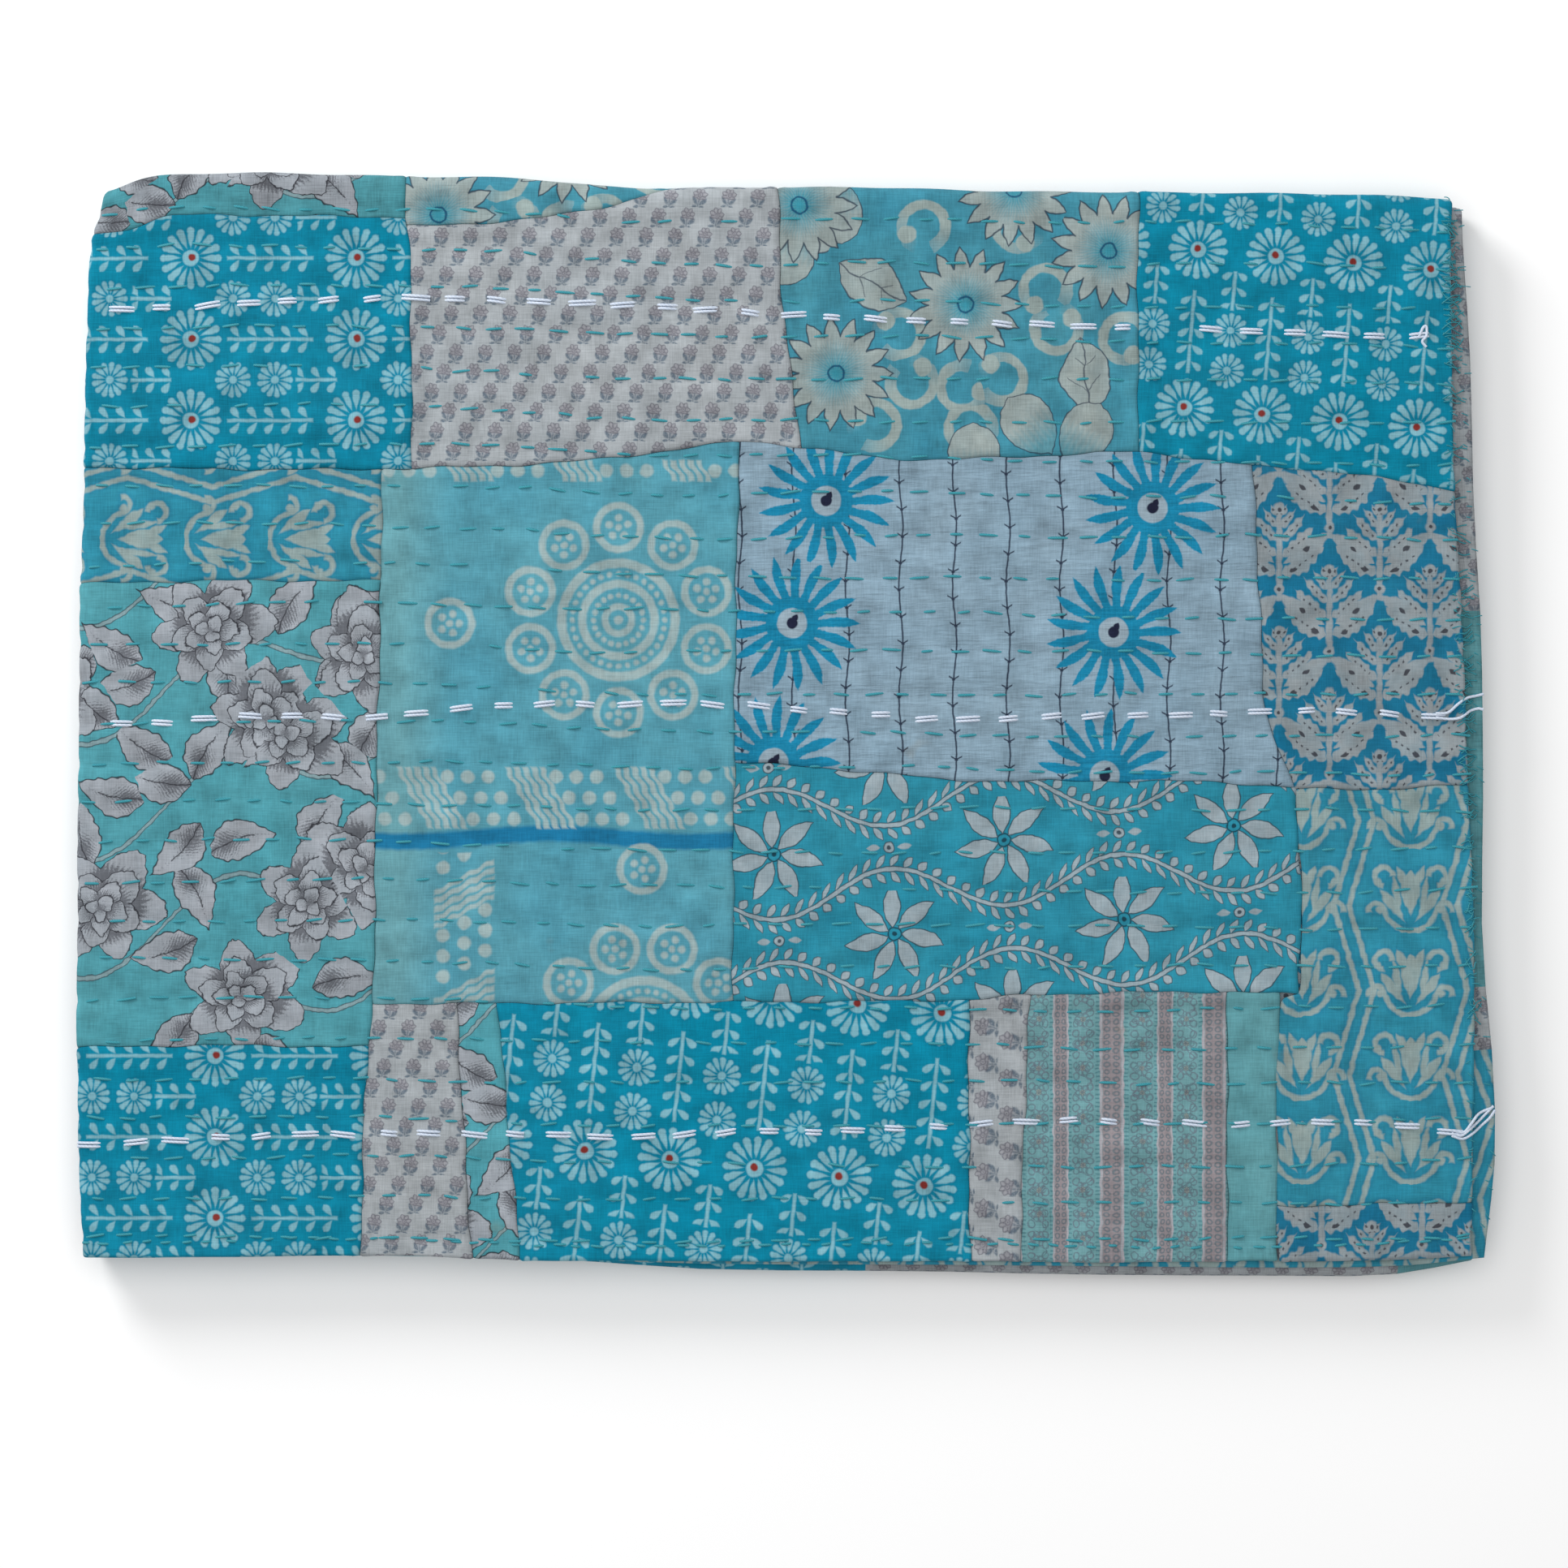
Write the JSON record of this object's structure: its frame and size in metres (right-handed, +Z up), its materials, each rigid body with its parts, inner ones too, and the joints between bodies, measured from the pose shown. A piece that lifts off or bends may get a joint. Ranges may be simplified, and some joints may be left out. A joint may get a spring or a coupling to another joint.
{
  "type": "folded patchwork quilt",
  "caption": "Hand-quilted cotton patchwork quilt, doubled and folded back and forth into a flat rectangular stack.",
  "frame": {"origin": "on the surface the quilt rests on, under the middle of the folded stack", "axes": "+X along the longer side of the folded stack, from the doubled fold to the hems; +Y from the near side to the far side; +Z up, through the layers"},
  "size_m": [0.761, 0.5916, 0.0307],
  "materials": {
    "patchwork_cotton": "matt washed cotton, block printed",
    "quilting_thread": "matt cotton thread",
    "basting_thread": "soft white cotton yarn"
  },
  "bodies": {
    "root": {"quilt": "patchwork_cotton"}
  },
  "joints": []
}
